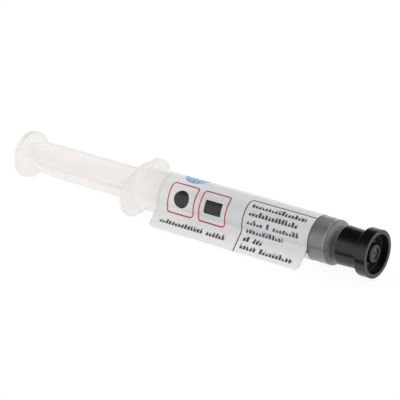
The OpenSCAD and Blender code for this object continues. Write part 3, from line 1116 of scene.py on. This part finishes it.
def label_line():
    """The strip's middle line across the barrel, as (y, z - axis), from one end of the flag to the other.

    A point on the barrel is (-R cos(angle), R sin(angle)), and the way up along it is its derivative."""
    def on_barrel(angle):
        return np.stack([-LABEL_R * np.cos(angle), LABEL_R * np.sin(angle)], -1)

    def way_up(angle):
        return np.array([np.sin(angle), np.cos(angle)])

    root = on_barrel(-FLAG_ROOT)
    out = np.array([-np.cos(FLAG_SLOPE), -np.sin(FLAG_SLOPE)])
    lift = np.array([-np.sin(FLAG_SLOPE), np.cos(FLAG_SLOPE)])
    corner = FLAG_ROUND * (1 - np.cos(np.linspace(0, np.pi / 2, 9)))
    rest = np.linspace(FLAG_ROUND, FLAG_STRAIGHT, 9)[1:]
    from_edge = np.concatenate([corner, rest])[:, None]
    upper = root + out * (FLAG_L - from_edge) + lift * FLAG_LIFT
    lower = (root + out * (FLAG_L - from_edge) - lift * FLAG_LIFT)[::-1]
    round_barrel = on_barrel(np.linspace(LEAVES_ABOVE, 2 * np.pi + LEAVES_BELOW, 150))
    leave = bend(upper[-1], -out, round_barrel[0], way_up(LEAVES_ABOVE), HOLD_ABOVE)
    arrive = bend(round_barrel[-1], way_up(LEAVES_BELOW), lower[0], out, HOLD_BELOW)
    return np.concatenate([upper, leave, round_barrel, arrive, lower])


print("the label's line has", len(label_line()), "points")

# %% [markdown]
# The line is carried along the barrel to make the strip, and a Solidify modifier gives it its thickness. The
# flag's corners are round, so the strip is shorter near its two ends. Its UV map runs along the barrel and
# along the strip, from 0 to 1, which gives the print its place however the film bends.

# %% Label strip
LABEL_COLUMNS = 49


def make_label():
    """The line carried along the barrel, shorter near the flag's edge so that the corners are round.

    At a distance d from the edge, less than the corner's radius r, the cut is r - root(r^2 - (r - d)^2)."""
    line = label_line()
    path = np.concatenate([[0], np.cumsum(np.linalg.norm(np.diff(line, axis=0), axis=1))])
    to_edge = np.minimum(path, path[-1] - path)
    inset = np.clip(FLAG_ROUND - to_edge, 0, None)
    cut = FLAG_ROUND - np.sqrt(np.maximum(FLAG_ROUND ** 2 - inset ** 2, 0))
    columns = np.linspace(0, 1, LABEL_COLUMNS)
    along = cut[:, None] + columns * (LABEL_L - 2 * cut[:, None])
    flat = np.broadcast_to(line[:, None], (*along.shape, 2))
    grid = np.stack([LABEL_X + along, flat[..., 0], AXIS_Z + flat[..., 1]], -1)
    number = np.arange(along.size).reshape(along.shape)
    cells = np.stack([number[:-1, :-1], number[:-1, 1:], number[1:, 1:], number[1:, :-1]], -1)
    strip = add_object("label_strip", grid.reshape(-1, 3), cells.reshape(-1, 4).tolist())
    places = np.stack([along / LABEL_L, np.broadcast_to(path[:, None], along.shape) / path[-1]], -1)
    corners = np.zeros(len(strip.data.loops), int)
    strip.data.loops.foreach_get("vertex_index", corners)
    uv = strip.data.uv_layers.new(name="print")
    uv.data.foreach_set("uv", places.reshape(-1, 2)[corners].astype(np.float32).ravel())
    thick = strip.modifiers.new("film", "SOLIDIFY")
    thick.thickness = LABEL_T * MM
    thick.offset = 0
    print(f"label_strip: {len(cells)} rows, {path[-1]:.1f} mm long, cut to {LABEL_L:.0f} mm wide")
    return strip, path[-1]


label, label_path = make_label()

# %% [markdown]
# The print is drawn by the material, in millimetres along the barrel and along the strip. It is a generic
# design: two red frames with a plain dark shape in each, a thin black frame with rows of small blocks, one
# row of blocks on the flag, and a round pale blue stamp. One group measures the distance to a box with
# rounded corners. Its edge, its inside and its outline all come from that one number, and a box whose
# corners are as wide as itself is a circle.

# %% Shared nodes: boxes with rounded corners
def make_box_group():
    """The distance in mm from a box with rounded corners, below zero inside it.

    With q = |place - centre| - half size + corner, the distance is the length of the positive part of q,
    plus the larger part of q where both are negative, less the corner."""
    takes = {"Place": (0.0, 0.0, 0.0), "Centre": (0.0, 0.0, 0.0), "Half": (1.0, 1.0, 0.0), "Corner": 0.0}
    tree, inputs, gives = new_group("box_distance", takes, ["Distance"])
    apart = put(tree, "VectorMath", {0: inputs["Place"], 1: inputs["Centre"]}, operation="SUBTRACT")
    apart = put(tree, "VectorMath", {0: apart.outputs[0]}, operation="ABSOLUTE")
    apart = put(tree, "VectorMath", {0: apart.outputs[0], 1: inputs["Half"]}, operation="SUBTRACT")
    q = parts_of(tree, apart.outputs[0])
    x = plus(tree, q["X"], inputs["Corner"])
    y = plus(tree, q["Y"], inputs["Corner"])
    x_out, y_out = largest(tree, x, 0.0), largest(tree, y, 0.0)
    outside = calc(tree, "SQRT", plus(tree, times(tree, x_out, x_out), times(tree, y_out, y_out)))
    inside = calc(tree, "MINIMUM", largest(tree, x, y), 0.0)
    total = minus(tree, plus(tree, outside, inside), inputs["Corner"])
    tree.links.new(total, gives["Distance"])
    return tree


box_distance = make_box_group()
print("group", box_distance.name)

# %% [markdown]
# A second group draws a row of small dark blocks by the same two distances. White noise gives each block its
# height and leaves some of them out, and gives each block's upright bars their own heights. The numbers are
# whole, so the noise gives the same row every time.

# %% Shared nodes: rows of blocks
BLOCK_PITCH = 1.35
BLOCK_TALL = 1.9
BLOCK_SHARE = 0.86
TALL_FROM = 0.45
LOW_BLOCK = 0.74
BLOCK_EDGE = (0.34, 0.42)
BARS = 3
BAR_LEAST = 0.42
BAR_MORE = 0.8
BLUR = 0.06
SEED_STEP = 31.7


def make_blocks_group():
    """A row of small blocks with gaps between some of them, each made of upright bars of uneven height.

    The place along the row, divided by the pitch, gives a whole number for the block and a rest for the
    place in it. White noise on that number says how tall the block is, and whether it is a gap. The bars
    are a finer count along the row, and white noise on each bar's number says how much of it is left."""
    takes = {"Along": 0.0, "Across": 0.0, "Start": 0.0, "End": 1.0, "Base": 0.0, "Seed": 0.0}
    tree, inputs, gives = new_group("block_row", takes, ["Mask"])
    from_start = minus(tree, inputs["Along"], inputs["Start"])
    steps = calc(tree, "DIVIDE", from_start, BLOCK_PITCH)
    seed = times(tree, inputs["Seed"], SEED_STEP)
    block = plus(tree, calc(tree, "FLOOR", steps), seed)
    chance = put(tree, "TexWhiteNoise", {"W": block}, noise_dimensions="1D").outputs
    is_block = calc(tree, "LESS_THAN", chance["Value"], BLOCK_SHARE)
    second = put(tree, "SeparateColor", {0: chance["Color"]}).outputs[0]
    is_tall = calc(tree, "GREATER_THAN", second, TALL_FROM)
    height = plus(tree, LOW_BLOCK, times(tree, is_tall, 1 - LOW_BLOCK))
    tall = times(tree, BLOCK_TALL, height)
    up = minus(tree, inputs["Across"], inputs["Base"])
    in_height = times(tree, ramp(tree, up, -BLUR, BLUR), ramp(tree, minus(tree, tall, up), -BLUR, BLUR))
    from_middle = calc(tree, "ABSOLUTE", minus(tree, calc(tree, "FRACT", steps), 0.5))
    in_width = ramp(tree, from_middle, *BLOCK_EDGE, 1.0, 0.0)
    bar = plus(tree, calc(tree, "FLOOR", times(tree, steps, BARS)), seed)
    left = put(tree, "TexWhiteNoise", {"W": bar}, noise_dimensions="1D").outputs["Value"]
    bar_share = plus(tree, BAR_LEAST, times(tree, left, BAR_MORE))
    in_bar = ramp(tree, minus(tree, times(tree, tall, bar_share), up), -BLUR, BLUR)
    after_start = calc(tree, "GREATER_THAN", inputs["Along"], inputs["Start"])
    before_end = calc(tree, "LESS_THAN", inputs["Along"], inputs["End"])
    mask = times(tree, in_height, in_width, in_bar, is_block, after_start, before_end)
    tree.links.new(mask, gives["Mask"])
    return tree


block_row = make_blocks_group()
print("group", block_row.name)

# %% [markdown]
# Each printed shape has a place in the two printed directions, in millimetres: a centre, half of its size
# and the radius of its corners. The black frame is larger than the label, so that only its left side, its
# top and one corner show. A row of blocks has a start, an end, a base line and a number for its noise.

# %% Places and colours of the print
FILM_COLOUR = (0.782, 0.795, 0.81, 1)
BARE_FILM = (0.85, 0.848, 0.84, 1)
PASTE_FROM = 8.0
PASTE_BLEND = 12.0
FLAG_ENDS = 7.5
FLAG_BLEND = 1.5
SIDE_LEVELS = (0.965, 0.905)
FLAG_LEVEL = 1.07
TOP_LEVEL = 1.05
TOP_ACROSS = (15.0, 21.0)
BLACK_INK = (0.014, 0.013, 0.016, 1)
RED_INK = (0.56, 0.025, 0.022, 1)
BLUE_INK = (0.26, 0.53, 0.82, 1)
DEEP_BLUE_INK = (0.15, 0.40, 0.74, 1)
BLOCK_INK = 0.92
RED_FRAMES = ((10.3, 12.6), (24.0, 12.6))
RED_HALF = (5.6, 5.6)
RED_CORNER = 1.1
RED_LINE = 0.26
ROUND_SHAPE = ((3.2, 3.2), 3.2)
OBLONG_SHAPE = ((3.6, 2.4), 0.5)
BLACK_FRAME = ((86.9, -40.1), (50.0, 60.0), 1.4)
BLACK_LINE = 0.2
STAMP = ((11.0, 25.2), (5.1, 5.1), 5.1)
STAMP_LINE = 0.22
INK_BLUR = 0.05
BLOCK_ROWS = (
    (38.6, 61.0, 16.9, 1.0),
    (38.6, 59.0, 13.8, 2.0),
    (38.6, 60.2, 10.7, 3.0),
    (38.6, 54.0, 7.6, 4.0),
    (38.6, 46.5, 4.5, 5.0),
    (38.6, 60.5, 1.6, 6.0),
    (3.4, 32.0, 2.6, 12.0),
)
print(len(RED_FRAMES), "red frames and", len(BLOCK_ROWS), "rows of blocks")

# %% [markdown]
# The film itself is a pale grey with a satin face, a little warmer over the empty barrel and on the flag's
# end than over the paste. It isn't quite opaque: a little see-through, set as a plain alpha, lets the dark
# paste grey it without painting that. Its side is drawn a little darker and its top and the flag a little
# paler, as film looks where it bends away from the light. The inks lie on top of it, one after the other.
# The stamp is a pale wash with deeper strokes in it, both from one pattern of distorted waves.

# %% Label film and its print
WAVES = {"Scale": 0.19, "Distortion": 5.0, "Detail": 2.0}
STROKES = (0.62, 0.9, 0.0, 0.75)
WASH = (0.05, 0.35, 0.5, 1.0)


def make_label_film():
    """Printed film: the film's colour and level first, then each ink over it by its mask."""
    material, tree, shader = new_material("label_film")
    feed(tree, shader, {"Alpha": 0.78, "Specular IOR Level": 0.6})
    add_grain(tree, shader, size=0.5, roughness=0.2, spread=0.12, depth=0.0012)
    uv = put(tree, "UVMap", uv_map="print").outputs["UV"]
    place = put(tree, "VectorMath", {0: uv, 1: (LABEL_L, label_path, 0.0)}, operation="MULTIPLY").outputs[0]
    axes = parts_of(tree, place)
    along, across = axes["X"], axes["Y"]

    def box(centre, half, corner):
        feeds = {"Place": place, "Centre": (*centre, 0.0), "Half": (*half, 0.0), "Corner": corner}
        return use_group(tree, box_distance, feeds)["Distance"]

    def filled(distance):
        return ramp(tree, distance, -INK_BLUR, INK_BLUR, 1.0, 0.0)

    def outlined(distance, half_line):
        from_line = calc(tree, "ABSOLUTE", distance)
        return ramp(tree, from_line, half_line - INK_BLUR, half_line + INK_BLUR, 1.0, 0.0)

    red = [outlined(box(centre, RED_HALF, RED_CORNER), RED_LINE) for centre in RED_FRAMES]
    shapes = [filled(box(centre, *shape)) for centre, shape in zip(RED_FRAMES, (ROUND_SHAPE, OBLONG_SHAPE))]
    rows = []
    for start, end, base, seed in BLOCK_ROWS:
        feeds = {"Along": along, "Across": across, "Start": start, "End": end, "Base": base, "Seed": seed}
        rows.append(use_group(tree, block_row, feeds)["Mask"])
    blocks = times(tree, largest(tree, *rows), BLOCK_INK)
    black = largest(tree, *shapes, outlined(box(*BLACK_FRAME), BLACK_LINE), blocks)
    stamp = box(*STAMP)
    waves = put(tree, "TexWave", {"Vector": place, **WAVES}).outputs["Fac"]
    strokes = times(tree, filled(stamp), ramp(tree, waves, *STROKES))
    deep_blue = largest(tree, outlined(stamp, STAMP_LINE), strokes)
    blue = times(tree, filled(stamp), ramp(tree, waves, *WASH))

    to_edge = calc(tree, "MINIMUM", across, minus(tree, label_path, across))
    on_column = ramp(tree, along, PASTE_FROM, PASTE_FROM + PASTE_BLEND)
    off_flag = ramp(tree, to_edge, FLAG_ENDS, FLAG_ENDS + FLAG_BLEND)
    film = blended(tree, times(tree, on_column, off_flag), BARE_FILM, FILM_COLOUR)
    side = ramp(tree, along, PASTE_FROM, PASTE_FROM + PASTE_BLEND, *SIDE_LEVELS)
    on_flag = ramp(tree, to_edge, 0.5, FLAG_ENDS + 1.0, FLAG_LEVEL, side)
    level = largest(tree, on_flag, ramp(tree, across, *TOP_ACROSS, side, TOP_LEVEL))
    colour = put(tree, "VectorMath", {0: film, "Scale": level}, operation="SCALE").outputs["Vector"]
    masks = (blue, deep_blue, largest(tree, *red), black)
    for mask, ink in zip(masks, (BLUE_INK, DEEP_BLUE_INK, RED_INK, BLACK_INK)):
        colour = blended(tree, mask, colour, ink)
    tree.links.new(colour, shader.inputs["Base Color"])
    return material


dress(label, "barrel", "label", make_label_film())
print("label printed, material", label.data.materials[0].name)
